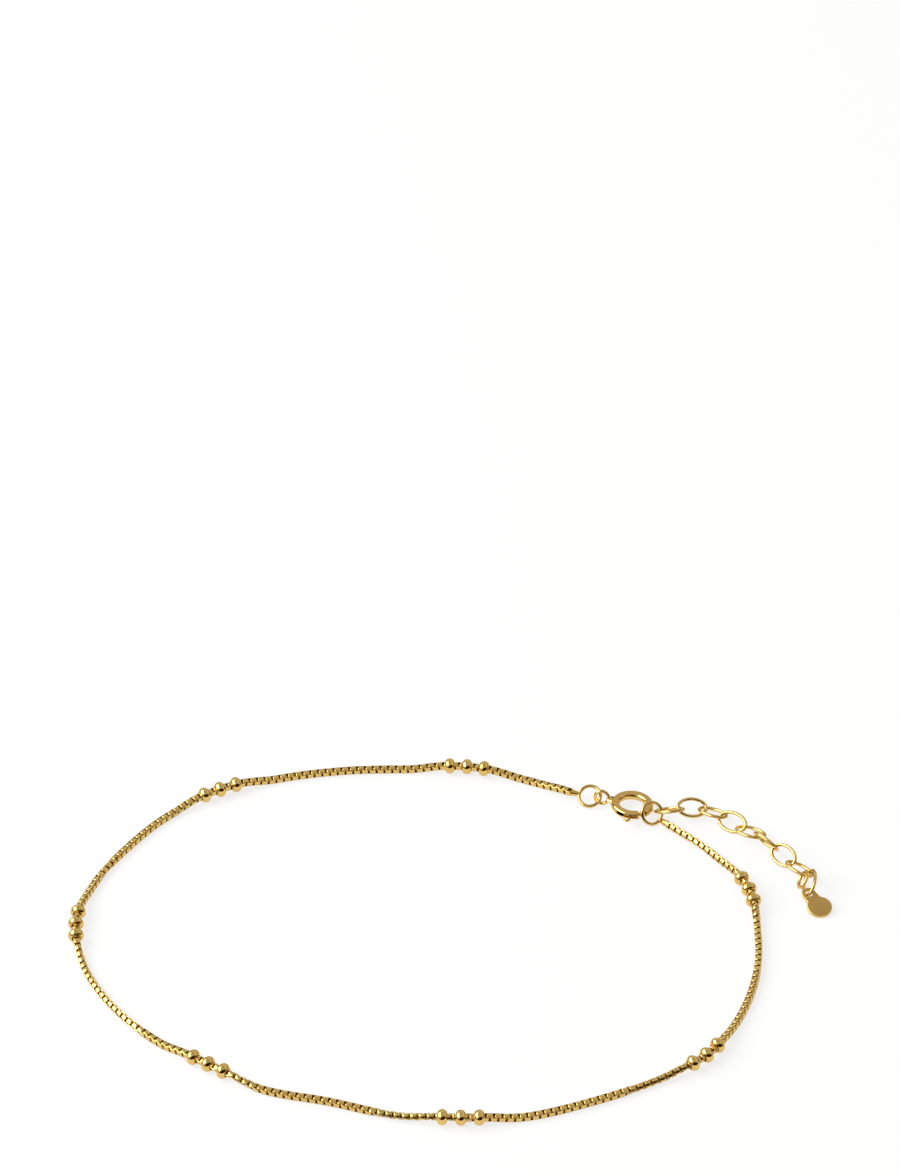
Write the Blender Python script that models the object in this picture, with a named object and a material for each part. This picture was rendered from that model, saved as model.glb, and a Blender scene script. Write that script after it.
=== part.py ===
# A fine gold anklet, lying open on the plane Z = 0 as when it is laid on a table.
# A box chain carries seven groups of small drilled beads. Each end of it is soldered to a ring:
# one holds the eye of a spring ring clasp, the other is caught by the clasp's bolt and carries
# a short extension of oval links, ending in a small oval ring and a bare round tag.
# Metres, +Z up. X runs along the loop's longer side.
import math

import bmesh
import bpy
from mathutils import Euler, Matrix, Vector

MM = 0.001

# Box chain
CHAIN_DIAMETER = 0.86 * MM
CHAIN_POINT_SPACING = 3.2 * MM
ROUTE_SAMPLES = 24
FIT_ATTEMPTS = 4
CHAIN_END_GAP = 0.08 * MM
LIFT_RUN = 5.5 * MM

# Drilled beads, in groups of three along the chain
BEAD_DIAMETER = 1.92 * MM
BEAD_LENGTH = 1.18 * MM
BEAD_END_DIAMETER = 1.24 * MM
BEAD_BORE_GAP = 0.09 * MM
BEAD_PITCH = 2.15 * MM
BEADS_IN_GROUP = 3
GROUP_COUNT = 7
GROUP_PITCH = 31.32 * MM
FIRST_GROUP_AT = 16.4 * MM
LAST_GROUP_TO_END = 14.05 * MM
BEAD_SIDES = 16
BEAD_PROFILE_STEPS = 6

# The loop as it lies: a few points chosen along the chain, in millimetres, from the ring
# that the clasp catches, round the near side, to the ring that holds the clasp's eye.
# The loop opens or closes from there until it is as long as the bead groups ask.
ROUTE = (
    (31.9, 15.2), (36.2, 8.0), (37.1, 0.0), (36.5, -7.8), (34.1, -15.3), (30.0, -22.1),
    (23.5, -26.2), (16.4, -29.5), (8.9, -32.0), (1.1, -32.7), (-6.7, -31.7), (-14.2, -29.4),
    (-21.8, -27.4), (-28.4, -23.5), (-34.9, -18.7), (-40.0, -13.0), (-43.7, -6.0), (-45.1, 1.6),
    (-43.3, 9.2), (-39.5, 16.1), (-34.5, 22.3), (-28.3, 26.7), (-20.7, 29.4), (-13.0, 30.8),
    (-5.1, 31.1), (2.7, 30.9), (9.9, 28.8),
)

# Round rings soldered to the chain's ends
END_RING_DIAMETER = 3.10 * MM
END_RING_WIRE = 0.43 * MM
NECK_LENGTH = 0.75 * MM
NECK_ROOT_DIAMETER = 0.52 * MM

# Spring ring clasp: a bent tube with a gap, closed by a bolt that slides inside it
CLASP_CENTRE = (22.55 * MM, 23.54 * MM, 0.97 * MM)
CLASP_TILT = -4.0
CLASP_ROLL = 3.0
CLASP_RADIUS = 2.10 * MM
CLASP_TUBE = 1.10 * MM
CLASP_WALL = 0.18 * MM
CLASP_STEPS = 30
CLASP_SIDES = 14
BORE_SIDES = 12
GAP_NEAR_SIDE = -72.0
GAP_FAR_SIDE = -46.0
BOLT_GAP = 0.10 * MM
BOLT_ENGAGEMENT = 7.0
BOLT_TAIL = 16.0
BOLT_TRAVEL = 35.0
BOLT_STEPS = 16
BOLT_SIDES = 10
TRIGGER_AT = -99.0
TRIGGER_WIRE = 0.30 * MM
TRIGGER_GAP = 0.07 * MM
TRIGGER_REACH = 1.62 * MM
TRIGGER_CURL = 0.28 * MM
TRIGGER_CURL_STEP = 34.0
TRIGGER_CURL_STEPS = 5
SLOT_ELEVATION = 12.0
SLOT_END_PLAY = 1.0
SLOT_OVERRUN = 4.0
SLOT_STEPS = 12
HOLLOW_OVERRUN = 6.0
EYE_ANGLE = 160.0
EYE_DIAMETER = 2.11 * MM
EYE_WIRE = 0.43 * MM
EYE_TWIST = 8.0
EYE_LEAN = 8.0
EYE_NECK_LENGTH = 0.30 * MM
EYE_NECK_ROOT_DIAMETER = 0.98 * MM
EYE_NECK_TIP_DIAMETER = 0.52 * MM
EYE_STEPS = 20
EYE_SIDES = 8

# How the two end rings sit: heading, lift and roll in degrees
LEFT_RING_TURN = (-10.0, 4.0, 30.0)
LEFT_RING_NECK = 172.0
LEFT_NECK_HEADING = 162.0
LEFT_RING_FROM_EYE = (-1.47 * MM, 0.37 * MM, -0.12 * MM)
RIGHT_RING_TURN = (12.0, -22.0, 52.0)
RIGHT_RING_NECK = -28.0
RIGHT_NECK_HEADING = -43.0
RIGHT_RING_FROM_CLASP = (2.35 * MM, -2.01 * MM, 0.36 * MM)

# Oval links of the extension
LINK_LENGTH = 4.15 * MM
LINK_WIDTH = 2.75 * MM
LINK_WIRE = 0.43 * MM
LINK_GAP = 0.10 * MM
FIRST_LINK_FROM_RING = (2.17 * MM, 0.67 * MM, -0.06 * MM)
# One row a link: heading, lift and roll in degrees, then its play along, sideways and upwards
# in the link before it, as shares of the links' wire
EXTENSION = (
    (-21, 20, -25, 0.00, 0.00, 0.00),
    (16, -12, 29, -0.26, 1.59, -0.69),
    (-33, 5, -20, -0.59, -0.20, -0.49),
    (-36, 1, 35, -0.34, -0.75, -0.04),
    (-29, 2, -14, -0.69, -1.13, -0.12),
    (-47, -1, -61, -0.86, -1.54, 0.94),
    (-49, 2, 43, -0.13, -0.20, -0.56),
    (-43, -2, -23, -0.24, -0.95, -0.09),
    (-96, -10, -125, 0.07, 0.10, 0.95),
)
# A smaller oval ring that hangs beside the last link, from the link before it
SMALL_RING_LENGTH = 2.60 * MM
SMALL_RING_WIDTH = 1.90 * MM
SMALL_RING = (-115, -29, 45, -0.19, -1.28, 0.99)

# Round tag with a drilled lug
TAG_DIAMETER = 3.0 * MM
TAG_THICKNESS = 0.42 * MM
TAG_LUG_DIAMETER = 1.74 * MM
TAG_HOLE_DIAMETER = 0.94 * MM
TAG_HOLE_TO_CENTRE = 2.30 * MM
TAG_HOLE_SIDES = 16
TAG_DISC_OPENING = 38.0
TAG_DISC_STEPS = 24
TAG_LUG_SPREAD = 105.0
TAG_LUG_STEPS = 12
TAG_TURN = (-57.0, -10.6, 4.3)
TAG_HOLE_PLAY = (-0.042 * MM, 0.065 * MM, 0.027 * MM)

WIRE_STEPS = 16
WIRE_SIDES = 6
BAR_SIDES = 12
SHARP_ANGLE = 40.0
MERGE_DISTANCE = 0.0001 * MM
GOLD = (0.83, 0.58, 0.22)


def clear_scene():
    for old in list(bpy.data.objects):
        bpy.data.objects.remove(old, do_unlink=True)


def gold_material(name, colour, roughness):
    material = bpy.data.materials.new(name)
    material.use_nodes = True
    shader = material.node_tree.nodes["Principled BSDF"]
    shader.inputs["Base Color"].default_value = (*colour, 1.0)
    shader.inputs["Metallic"].default_value = 1.0
    shader.inputs["Roughness"].default_value = roughness
    return material


def add_object(name, mesh, material, parent):
    piece = bpy.data.objects.new(name, mesh)
    bpy.context.collection.objects.link(piece)
    mesh.materials.clear()
    mesh.materials.append(material)
    piece.parent = parent
    return piece


def smooth_mesh(mesh):
    mesh.shade_smooth()
    mesh.set_sharp_from_angle(angle=math.radians(SHARP_ANGLE))


def turn_of(heading, lift, roll):
    """Rotation that lays local X along a heading and a lift, then rolls about it."""
    angles = (math.radians(roll), math.radians(-lift), math.radians(heading))
    return Euler(angles, "XYZ").to_matrix()


def placed(centre, turn):
    return Matrix.Translation(centre) @ turn.to_4x4()


def finish_bmesh(bm, name):
    bmesh.ops.remove_doubles(bm, verts=bm.verts, dist=MERGE_DISTANCE)
    bmesh.ops.recalc_face_normals(bm, faces=bm.faces)
    mesh = bpy.data.meshes.new(name)
    bm.to_mesh(mesh)
    bm.free()
    smooth_mesh(mesh)
    return mesh


def bent_bar(name, bend_radius, bar_radius, start, end, steps, sides):
    """A round bar bent about Z at the bend radius, from one angle to another, closed by flat ends."""
    bm = bmesh.new()
    full = abs(end - start) >= 360.0
    section = bmesh.ops.create_circle(bm, segments=sides, radius=bar_radius)["verts"]
    bmesh.ops.rotate(bm, verts=section, matrix=Matrix.Rotation(math.pi / 2, 3, "X"))
    bmesh.ops.translate(bm, verts=section, vec=(bend_radius, 0.0, 0.0))
    bmesh.ops.rotate(bm, verts=section, matrix=Matrix.Rotation(math.radians(start), 3, "Z"))
    bmesh.ops.spin(
        bm, geom=bm.verts[:] + bm.edges[:], axis=(0, 0, 1), cent=(0, 0, 0),
        angle=math.radians(end - start), steps=steps, use_merge=full)
    if not full:
        bmesh.ops.holes_fill(bm, edges=[edge for edge in bm.edges if edge.is_boundary], sides=sides)
    return finish_bmesh(bm, name)


def tapered_bar(name, start, end, start_radius, end_radius, sides=BAR_SIDES):
    """A straight round bar between two points, closed by flat ends."""
    bm = bmesh.new()
    along = end - start
    bmesh.ops.create_cone(
        bm, cap_ends=True, segments=sides, radius1=start_radius, radius2=end_radius, depth=along.length)
    turn = Vector((0, 0, 1)).rotation_difference(along.normalized()).to_matrix()
    bmesh.ops.rotate(bm, verts=bm.verts, matrix=turn)
    bmesh.ops.translate(bm, verts=bm.verts, vec=(start + end) / 2)
    return finish_bmesh(bm, name)


def wire_mesh(name, points, radius, closed, resolution=1):
    """A wire along points, made as a bevelled curve and taken as a mesh."""
    curve = bpy.data.curves.new(name, "CURVE")
    curve.dimensions = "3D"
    curve.bevel_depth = radius
    curve.bevel_resolution = resolution
    curve.use_fill_caps = True
    spline = curve.splines.new("POLY")
    spline.points.add(len(points) - 1)
    for point, place in zip(spline.points, points):
        point.co = (*place, 1.0)
    spline.use_cyclic_u = closed
    holder = bpy.data.objects.new(name, curve)
    bpy.context.collection.objects.link(holder)
    evaluated = holder.evaluated_get(bpy.context.evaluated_depsgraph_get())
    bm = bmesh.new()
    bm.from_mesh(evaluated.to_mesh())
    evaluated.to_mesh_clear()
    bpy.data.objects.remove(holder, do_unlink=True)
    bpy.data.curves.remove(curve)
    return finish_bmesh(bm, name)


def combine(piece, mesh, operation):
    """Join or cut a finished mesh into a piece with an exact Boolean, and keep the result."""
    other = bpy.data.objects.new(piece.name + "_tool", mesh)
    bpy.context.collection.objects.link(other)
    other.matrix_world = piece.matrix_world
    modifier = piece.modifiers.new(operation.lower(), "BOOLEAN")
    modifier.operation = operation
    modifier.solver = "EXACT"
    modifier.object = other
    evaluated = piece.evaluated_get(bpy.context.evaluated_depsgraph_get())
    result = bpy.data.meshes.new_from_object(evaluated)
    piece.modifiers.clear()
    piece.data = result
    bpy.data.objects.remove(other, do_unlink=True)
    smooth_mesh(result)


def ellipse_points(length, width, steps):
    """Even steps round an oval, spread so that the flats at its ends and sides lie on it."""
    spread = 0.5 / math.cos(math.pi / steps)
    turns = [2 * math.pi * (step + 0.5) / steps for step in range(steps)]
    return [Vector((length * math.cos(turn), width * math.sin(turn), 0.0)) * spread for turn in turns]


def clasp_frame():
    turn = Euler((math.radians(CLASP_TILT), math.radians(CLASP_ROLL), 0.0), "XYZ").to_matrix()
    return placed(Vector(CLASP_CENTRE), turn)


def polar(radius, angle, height=0.0):
    turn = math.radians(angle)
    return Vector((radius * math.cos(turn), radius * math.sin(turn), height))


def eye_centre():
    """The eye's centre in the clasp's own frame."""
    reach = CLASP_RADIUS + CLASP_TUBE / 2 + EYE_NECK_LENGTH + EYE_DIAMETER / 2
    return polar(reach, EYE_ANGLE)


def tube_bore():
    return CLASP_TUBE / 2 - CLASP_WALL


def bolt_radius():
    return tube_bore() - BOLT_GAP


def add_clasp_ring(material, parent):
    """The bent tube, its slot for the trigger and the eye that stands across it, as one solid."""
    bore = tube_bore()
    outer = bent_bar(
        "clasp_ring", CLASP_RADIUS, CLASP_TUBE / 2, GAP_FAR_SIDE, 360 + GAP_NEAR_SIDE,
        CLASP_STEPS, CLASP_SIDES)
    ring = add_object("clasp_ring", outer, material, parent)
    eye_turn = Matrix.Rotation(math.radians(EYE_ANGLE + EYE_TWIST), 3, "Z")
    eye_turn = eye_turn @ Matrix.Rotation(math.radians(90 + EYE_LEAN), 3, "X")
    eye = bent_bar("eye", (EYE_DIAMETER - EYE_WIRE) / 2, EYE_WIRE / 2, 0, 360, EYE_STEPS, EYE_SIDES)
    eye.transform(placed(eye_centre(), eye_turn))
    combine(ring, eye, "UNION")
    neck_start = polar(CLASP_RADIUS + CLASP_TUBE / 4, EYE_ANGLE)
    neck_end = eye_centre() - polar((EYE_DIAMETER - EYE_WIRE) / 2, EYE_ANGLE)
    neck = tapered_bar("neck", neck_start, neck_end, EYE_NECK_ROOT_DIAMETER / 2, EYE_NECK_TIP_DIAMETER / 2)
    combine(ring, neck, "UNION")
    hollow = bent_bar(
        "hollow", CLASP_RADIUS, bore, GAP_FAR_SIDE - HOLLOW_OVERRUN, 360 + GAP_NEAR_SIDE + HOLLOW_OVERRUN,
        CLASP_STEPS, BORE_SIDES)
    combine(ring, hollow, "DIFFERENCE")
    slot_width = TRIGGER_WIRE + 2 * TRIGGER_GAP
    end_play = math.degrees((slot_width / 2) / (CLASP_RADIUS + CLASP_TUBE / 2))
    slot_start = TRIGGER_AT - BOLT_TRAVEL - end_play - SLOT_END_PLAY
    slot = slot_cutter(slot_width, slot_start, GAP_NEAR_SIDE + SLOT_OVERRUN)
    combine(ring, slot, "DIFFERENCE")
    return ring


def slot_cutter(width, start, end):
    """A flat bar bent about Z that opens the tube's outer wall along the trigger's way."""
    depth_in = tube_bore() / 2
    depth_out = CLASP_TUBE / 2 + CLASP_WALL
    bm = bmesh.new()
    corners = [(depth_in, -width / 2), (depth_out, -width / 2), (depth_out, width / 2), (depth_in, width / 2)]
    section = [bm.verts.new((along, 0.0, up)) for along, up in corners]
    bm.faces.new(section)
    lean = Matrix.Rotation(math.radians(-SLOT_ELEVATION), 3, "Y")
    bmesh.ops.rotate(bm, verts=section, matrix=lean)
    bmesh.ops.translate(bm, verts=section, vec=(CLASP_RADIUS, 0.0, 0.0))
    bmesh.ops.rotate(bm, verts=section, matrix=Matrix.Rotation(math.radians(start), 3, "Z"))
    bmesh.ops.delete(bm, geom=bm.faces[:], context="FACES_ONLY")
    bmesh.ops.spin(
        bm, geom=bm.verts[:] + bm.edges[:], axis=(0, 0, 1), cent=(0, 0, 0),
        angle=math.radians(end - start), steps=SLOT_STEPS)
    bmesh.ops.holes_fill(bm, edges=[edge for edge in bm.edges if edge.is_boundary], sides=len(corners))
    return finish_bmesh(bm, "slot")


def add_clasp_bolt(material, parent):
    """The bolt with its curled trigger. Its origin lies on the clasp's axis."""
    bar = bent_bar(
        "clasp_bolt", CLASP_RADIUS, bolt_radius(), TRIGGER_AT - BOLT_TAIL,
        GAP_FAR_SIDE + BOLT_ENGAGEMENT, BOLT_STEPS, BOLT_SIDES)
    bolt = add_object("clasp_bolt", bar, material, parent)
    outward = polar(1.0, TRIGGER_AT)
    backward = polar(1.0, TRIGGER_AT - 90)
    rise = math.radians(SLOT_ELEVATION)
    stem = outward * math.cos(rise) + Vector((0, 0, math.sin(rise)))
    root = outward * CLASP_RADIUS
    points = [root + stem * reach for reach in (bolt_radius() / 2, TRIGGER_REACH / 2, TRIGGER_REACH)]
    hub = root + stem * TRIGGER_REACH + backward * TRIGGER_CURL
    for step in range(1, TRIGGER_CURL_STEPS + 1):
        turn = math.radians(TRIGGER_CURL_STEP * step)
        points.append(hub - backward * TRIGGER_CURL * math.cos(turn) + stem * TRIGGER_CURL * math.sin(turn))
    combine(bolt, wire_mesh("trigger", points, TRIGGER_WIRE / 2, False), "UNION")
    return bolt


def add_end_ring(name, centre, turn, neck_angle, neck_heading, material, parent):
    """A ring and its soldered neck, which runs level, as one solid. Returns the neck's end."""
    wire_radius = END_RING_WIRE / 2
    bend = END_RING_DIAMETER / 2 - wire_radius
    wire = bent_bar(name, bend, wire_radius, 0, 360, WIRE_STEPS, WIRE_SIDES)
    ring = add_object(name, wire, material, parent)
    neck_start = polar(bend, neck_angle)
    neck_end = neck_start + turn.transposed() @ polar(wire_radius + NECK_LENGTH, neck_heading)
    neck = tapered_bar("neck", neck_start, neck_end, NECK_ROOT_DIAMETER / 2, CHAIN_DIAMETER / 2)
    combine(ring, neck, "UNION")
    place = placed(centre, turn)
    ring.matrix_local = place
    return place @ neck_end


def smooth_route(points, steps):
    """A smooth curve through the points: centripetal Catmull-Rom, sampled evenly in each span."""
    padded = [2 * points[0] - points[1]] + points + [2 * points[-1] - points[-2]]
    samples = []
    for before, start, end, after in zip(padded, padded[1:], padded[2:], padded[3:]):
        knots = [0.0]
        for one, two in ((before, start), (start, end), (end, after)):
            knots.append(knots[-1] + math.sqrt((two - one).length))
        for step in range(steps):
            t = knots[1] + (knots[2] - knots[1]) * step / steps
            samples.append(barry_goldman(before, start, end, after, knots, t))
    return samples + [points[-1]]


def barry_goldman(before, start, end, after, knots, t):
    k0, k1, k2, k3 = knots
    low = before * ((k1 - t) / (k1 - k0)) + start * ((t - k0) / (k1 - k0))
    middle = start * ((k2 - t) / (k2 - k1)) + end * ((t - k1) / (k2 - k1))
    high = end * ((k3 - t) / (k3 - k2)) + after * ((t - k2) / (k3 - k2))
    first = low * ((k2 - t) / (k2 - k0)) + middle * ((t - k0) / (k2 - k0))
    second = middle * ((k3 - t) / (k3 - k1)) + high * ((t - k1) / (k3 - k1))
    return first * ((k2 - t) / (k2 - k1)) + second * ((t - k1) / (k2 - k1))


class ChainPath:
    """The chain's centre line: a flat route with heights that rise over beads and at the ends."""

    def __init__(self, right_end, left_end):
        self.groups = [FIRST_GROUP_AT + index * GROUP_PITCH for index in range(GROUP_COUNT)]
        self.half_group = (BEADS_IN_GROUP - 1) / 2 * BEAD_PITCH
        start = Vector((right_end.x, right_end.y, 0.0))
        finish = Vector((left_end.x, left_end.y, 0.0))
        spread = 1.0
        for attempt in range(FIT_ATTEMPTS):
            self.lay(start, finish, spread)
            spread *= (self.groups[-1] + LAST_GROUP_TO_END) / self.total
        self.ends = ((0.0, right_end.z), (self.total, left_end.z))

    def lay(self, start, finish, spread):
        middle = (start + finish) / 2
        flat = [middle + (Vector((x * MM, y * MM, 0.0)) - middle) * spread for x, y in ROUTE]
        self.samples = smooth_route([start] + flat + [finish], ROUTE_SAMPLES)
        self.lengths = [0.0]
        for one, two in zip(self.samples, self.samples[1:]):
            self.lengths.append(self.lengths[-1] + (two - one).length)
        self.total = self.lengths[-1]

    def height(self, along):
        rest = CHAIN_DIAMETER / 2
        lifts = [(abs(along - group) - self.half_group, BEAD_DIAMETER / 2) for group in self.groups]
        lifts += [(abs(along - end), level) for end, level in self.ends]
        height = rest
        for distance, level in lifts:
            share = min(max(distance / LIFT_RUN, 0.0), 1.0)
            height = max(height, rest + (level - rest) * (1 + math.cos(math.pi * share)) / 2)
        return height

    def point(self, along):
        along = min(max(along, 0.0), self.total)
        index = max(step for step, length in enumerate(self.lengths[:-1]) if length <= along)
        span = self.lengths[index + 1] - self.lengths[index]
        share = (along - self.lengths[index]) / span
        place = self.samples[index].lerp(self.samples[index + 1], share)
        return Vector((place.x, place.y, self.height(along)))

    def direction(self, along):
        step = BEAD_LENGTH / 2
        return (self.point(along + step) - self.point(along - step)).normalized()

    def bead_places(self):
        offsets = [(index * BEAD_PITCH) - self.half_group for index in range(BEADS_IN_GROUP)]
        return [group + offset for group in self.groups for offset in offsets]


def add_box_chain(path, material, parent):
    """The chain's outer form: a tube through every bead, with even steps between the groups."""
    keys = [CHAIN_END_GAP] + path.bead_places() + [path.total - CHAIN_END_GAP]
    stations = []
    for here, there in zip(keys, keys[1:]):
        count = math.ceil((there - here) / CHAIN_POINT_SPACING)
        stations += [here + (there - here) * step / count for step in range(count)]
    stations.append(keys[-1])
    curve = bpy.data.curves.new("box_chain", "CURVE")
    curve.dimensions = "3D"
    curve.bevel_depth = CHAIN_DIAMETER / 2
    curve.bevel_resolution = 2
    curve.use_fill_caps = True
    spline = curve.splines.new("POLY")
    spline.points.add(len(stations) - 1)
    for point, station in zip(spline.points, stations):
        point.co = (*path.point(station), 1.0)
    return add_object("box_chain", curve, material, parent)


def bead_mesh():
    """A ball pressed a little flat, cut level at both ends and drilled through, about local X."""
    radius = BEAD_DIAMETER / 2
    half = BEAD_LENGTH / 2
    bore = CHAIN_DIAMETER / 2 + BEAD_BORE_GAP
    rim = math.acos(BEAD_END_DIAMETER / BEAD_DIAMETER)
    turns = [-rim + 2 * rim * step / BEAD_PROFILE_STEPS for step in range(BEAD_PROFILE_STEPS + 1)]
    outline = [(half * math.sin(turn) / math.sin(rim), radius * math.cos(turn)) for turn in turns]
    outline += [(half, bore), (-half, bore)]
    bm = bmesh.new()
    verts = [bm.verts.new((along, 0.0, -out)) for along, out in outline]
    for one, two in zip(verts, verts[1:] + verts[:1]):
        bm.edges.new((one, two))
    bmesh.ops.spin(
        bm, geom=bm.verts[:] + bm.edges[:], axis=(1, 0, 0), cent=(0, 0, 0),
        angle=2 * math.pi, steps=BEAD_SIDES, use_merge=True)
    return finish_bmesh(bm, "bead")


def add_beads(path, material, parent):
    mesh = bead_mesh()
    for index, along in enumerate(path.bead_places()):
        bead = add_object(f"bead_{index + 1:02d}", mesh, material, parent)
        way = path.direction(along)
        heading = math.degrees(math.atan2(way.y, way.x))
        lift = math.degrees(math.asin(way.z))
        bead.matrix_local = placed(path.point(along), turn_of(heading, lift, 0.0))


def link_inset(length):
    """From a link's middle to where the next link hangs in its end."""
    return (length - LINK_WIRE) / 2 - (LINK_WIRE + LINK_GAP) / 2


def hung_centre(last_centre, last_turn, turn, length, play):
    """Where a link of that length and turn has its middle, hung in the end of the link before it."""
    last_along = last_turn @ Vector((1, 0, 0))
    along = turn @ Vector((1, 0, 0))
    way = (last_along + along).normalized()
    sideways = Vector((-way.y, way.x, 0.0)).normalized()
    upwards = way.cross(sideways)
    slack, side, up = (share * LINK_WIRE for share in play)
    centre = last_centre + last_along * link_inset(LINK_LENGTH) + along * link_inset(length)
    return centre + way * slack + sideways * side + upwards * up


def oval_mesh(name, length, width):
    outline = ellipse_points(length - LINK_WIRE, width - LINK_WIRE, WIRE_STEPS)
    return wire_mesh(name, outline, LINK_WIRE / 2, True)


def add_extension(first_centre, material, parent):
    """Oval links, each caught in the end of the one before it. Returns the last one's end wire."""
    mesh = oval_mesh("link", LINK_LENGTH, LINK_WIDTH)
    places = []
    for index, (heading, lift, roll, *play) in enumerate(EXTENSION):
        turn = turn_of(heading, lift, roll)
        centre = hung_centre(*places[-1], turn, LINK_LENGTH, play) if places else first_centre
        places.append((centre, turn))
        link = add_object(f"extension_link_{index + 1}", mesh, material, parent)
        link.matrix_local = placed(centre, turn)
    heading, lift, roll, *play = SMALL_RING
    turn = turn_of(heading, lift, roll)
    small = add_object(
        "extension_small_ring", oval_mesh("small_ring", SMALL_RING_LENGTH, SMALL_RING_WIDTH), material, parent)
    small.matrix_local = placed(hung_centre(*places[-2], turn, SMALL_RING_LENGTH, play), turn)
    centre, turn = places[-1]
    return centre + turn @ Vector(((LINK_LENGTH - LINK_WIRE) / 2, 0, 0))


def tag_mesh():
    """A round plate with a smaller drilled lug, joined by a smooth waist. The hole is at the origin."""
    bm = bmesh.new()
    disc = TAG_DIAMETER / 2
    lug = TAG_LUG_DIAMETER / 2
    outline = []
    opening = math.radians(TAG_DISC_OPENING)
    for step in range(TAG_DISC_STEPS + 1):
        turn = -math.pi + opening + 2 * (math.pi - opening) * step / TAG_DISC_STEPS
        outline.append((TAG_HOLE_TO_CENTRE + disc * math.cos(turn), disc * math.sin(turn)))
    spread = math.radians(TAG_LUG_SPREAD)
    for step in range(TAG_LUG_STEPS + 1):
        turn = math.pi - spread + 2 * spread * step / TAG_LUG_STEPS
        outline.append((lug * math.cos(turn), lug * math.sin(turn)))
    plate = bm.faces.new([bm.verts.new((x, y, -TAG_THICKNESS / 2)) for x, y in outline])
    raised = bmesh.ops.extrude_face_region(bm, geom=[plate])["geom"]
    top = [item for item in raised if isinstance(item, bmesh.types.BMVert)]
    bmesh.ops.translate(bm, verts=top, vec=(0, 0, TAG_THICKNESS))
    return finish_bmesh(bm, "tag")


def add_tag(end_wire, turn, material, parent):
    tag = add_object("tag", tag_mesh(), material, parent)
    reach = Vector((0, 0, TAG_THICKNESS))
    drill = tapered_bar("drill", -reach, reach, TAG_HOLE_DIAMETER / 2, TAG_HOLE_DIAMETER / 2, TAG_HOLE_SIDES)
    combine(tag, drill, "DIFFERENCE")
    tag.matrix_local = placed(end_wire + turn @ Vector(TAG_HOLE_PLAY), turn)


def centre_on_base(root):
    """Move the whole anklet so that its origin is the middle of the base it rests on."""
    bpy.context.view_layer.update()
    corners = []
    for piece in root.children_recursive:
        corners += [piece.matrix_world @ Vector(corner) for corner in bounds_of(piece)]
    low = Vector([min(corner[axis] for corner in corners) for axis in range(3)])
    high = Vector([max(corner[axis] for corner in corners) for axis in range(3)])
    root.location = (-(low.x + high.x) / 2, -(low.y + high.y) / 2, -low.z)


def bounds_of(piece):
    evaluated = piece.evaluated_get(bpy.context.evaluated_depsgraph_get())
    mesh = evaluated.to_mesh()
    places = [vertex.co.copy() for vertex in mesh.vertices]
    evaluated.to_mesh_clear()
    return places


def main():
    clear_scene()
    root = bpy.data.objects.new("anklet", None)
    bpy.context.collection.objects.link(root)
    polished = gold_material("polished gold", GOLD, 0.15)
    chain_gold = gold_material("chain gold", GOLD, 0.22)
    brushed = gold_material("brushed gold", GOLD, 0.35)

    clasp = clasp_frame()
    ring = add_clasp_ring(brushed, root)
    ring.matrix_local = clasp
    bolt = add_clasp_bolt(polished, root)
    bolt.matrix_local = clasp

    left_centre = clasp @ eye_centre() + Vector(LEFT_RING_FROM_EYE)
    left_end = add_end_ring(
        "end_ring_left", left_centre, turn_of(*LEFT_RING_TURN),
        LEFT_RING_NECK, LEFT_NECK_HEADING, polished, root)
    right_centre = clasp.translation + Vector(RIGHT_RING_FROM_CLASP)
    right_end = add_end_ring(
        "end_ring_right", right_centre, turn_of(*RIGHT_RING_TURN),
        RIGHT_RING_NECK, RIGHT_NECK_HEADING, polished, root)

    path = ChainPath(right_end, left_end)
    add_box_chain(path, chain_gold, root)
    add_beads(path, polished, root)
    end_wire = add_extension(right_centre + Vector(FIRST_LINK_FROM_RING), polished, root)
    add_tag(end_wire, turn_of(*TAG_TURN), brushed, root)
    centre_on_base(root)


main()
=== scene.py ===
import math
import random

import bmesh
import bpy
import numpy as np
from mathutils import Euler, Matrix, Vector


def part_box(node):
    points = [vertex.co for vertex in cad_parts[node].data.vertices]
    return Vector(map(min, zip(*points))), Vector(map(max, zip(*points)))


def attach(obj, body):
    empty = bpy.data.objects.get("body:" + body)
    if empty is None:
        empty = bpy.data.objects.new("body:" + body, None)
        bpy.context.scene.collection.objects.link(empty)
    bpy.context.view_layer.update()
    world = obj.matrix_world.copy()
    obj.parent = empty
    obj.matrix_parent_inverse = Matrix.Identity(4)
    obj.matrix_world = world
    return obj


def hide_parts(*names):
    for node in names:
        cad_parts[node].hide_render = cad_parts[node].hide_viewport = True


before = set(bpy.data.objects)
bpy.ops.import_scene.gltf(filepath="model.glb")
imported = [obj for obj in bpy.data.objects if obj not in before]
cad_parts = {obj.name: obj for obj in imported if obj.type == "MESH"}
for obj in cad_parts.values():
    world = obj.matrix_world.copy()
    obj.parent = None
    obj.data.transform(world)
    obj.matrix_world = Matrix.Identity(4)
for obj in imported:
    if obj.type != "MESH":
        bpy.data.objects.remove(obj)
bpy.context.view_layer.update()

mm = 0.001
weld = 1e-7                    # metres; points that are nearer than this are one
print("anklet: frame loaded,", len(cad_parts), "nodes")


# helpers

def linear(hexColour):
    # sRGB hex to the linear values that shaders take
    parts = [int(hexColour[i:i + 2], 16) / 255 for i in (1, 3, 5)]
    return tuple(p / 12.92 if p <= 0.04045 else ((p + 0.055) / 1.055) ** 2.4 for p in parts) + (1.0,)


def addNode(tree, kind, inputs=None, **settings):
    node = tree.nodes.new(kind)
    for name, value in settings.items():
        setattr(node, name, value)
    for socket, value in (inputs or {}).items():
        if isinstance(value, bpy.types.NodeSocket):
            tree.links.new(value, node.inputs[socket])
        else:
            node.inputs[socket].default_value = value
    return node


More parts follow.
